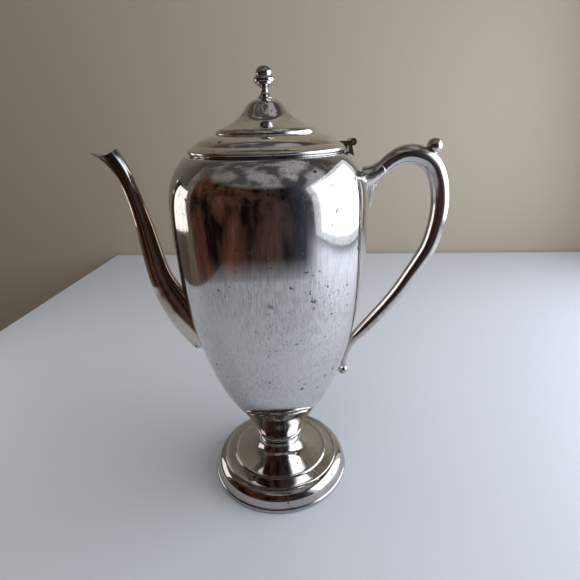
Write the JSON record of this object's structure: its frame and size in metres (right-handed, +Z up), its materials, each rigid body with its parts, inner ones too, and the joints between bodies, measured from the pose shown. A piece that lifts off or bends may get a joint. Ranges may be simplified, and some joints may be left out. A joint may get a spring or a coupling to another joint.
{
  "type": "pedestal coffee pot with hinged lid",
  "caption": "Tall antique silver-plated serving pot on a pedestal foot, with a swan-neck spout, a loop handle and a hinged lid with a turned finial.",
  "frame": {"origin": "on the pot's vertical axis, in the plane that the foot stands on", "axes": "+Z up along the pot's axis, +X towards the handle, -X towards the spout, +Y across"},
  "size_m": [0.2054, 0.117, 0.27],
  "materials": {
    "foot_rim": "worn silver plate, mirror polished, over brass sheet",
    "foot_shell": "worn silver plate, mirror polished, over brass sheet",
    "neck_collar": "worn silver plate, mirror polished, over brass sheet",
    "body_shell": "worn silver plate, mirror polished, over brass sheet",
    "mouth_ring": "worn silver plate, mirror polished, over brass sheet",
    "spout": "worn silver plate, mirror polished, over brass sheet",
    "handle": "worn silver plate, mirror polished, over brass sheet",
    "handle_socket": "worn silver plate, mirror polished, over brass sheet",
    "handle_tail_ball": "worn silver plate, mirror polished, over brass sheet",
    "handle_thumb_ball": "worn silver plate, mirror polished, over brass sheet",
    "hinge_bracket": "worn silver plate, mirror polished, over brass sheet",
    "brass_pin": "plain turned brass",
    "lid_shell": "worn silver plate, mirror polished, over brass sheet",
    "lid_bezel": "worn silver plate, mirror polished, over brass sheet",
    "hinge_leaf": "worn silver plate, mirror polished, over brass sheet",
    "finial": "worn silver plate, mirror polished, over brass sheet",
    "brass_nut": "plain turned brass"
  },
  "bodies": {
    "pot": {"foot_rim": "foot_rim", "foot_shell": "foot_shell", "neck_collar": "neck_collar", "body_shell": "body_shell", "mouth_ring": "mouth_ring", "spout": "spout", "handle": "handle", "handle_socket": "handle_socket", "handle_tail_ball": "handle_tail_ball", "handle_thumb_ball": "handle_thumb_ball", "hinge_bracket": "hinge_bracket", "hinge_pin": "brass_pin"},
    "lid": {"lid_shell": "lid_shell", "lid_bezel": "lid_bezel", "hinge_leaf": "hinge_leaf", "finial": "finial", "finial_nut": "brass_nut"}
  },
  "joints": [
    {"name": "lid_hinge", "type": "hinge", "parent": "pot", "child": "lid", "pos_m": [0.0487, 0, 0.2299], "axis": [0, 1, 0], "range_deg": [0, 100]}
  ]
}
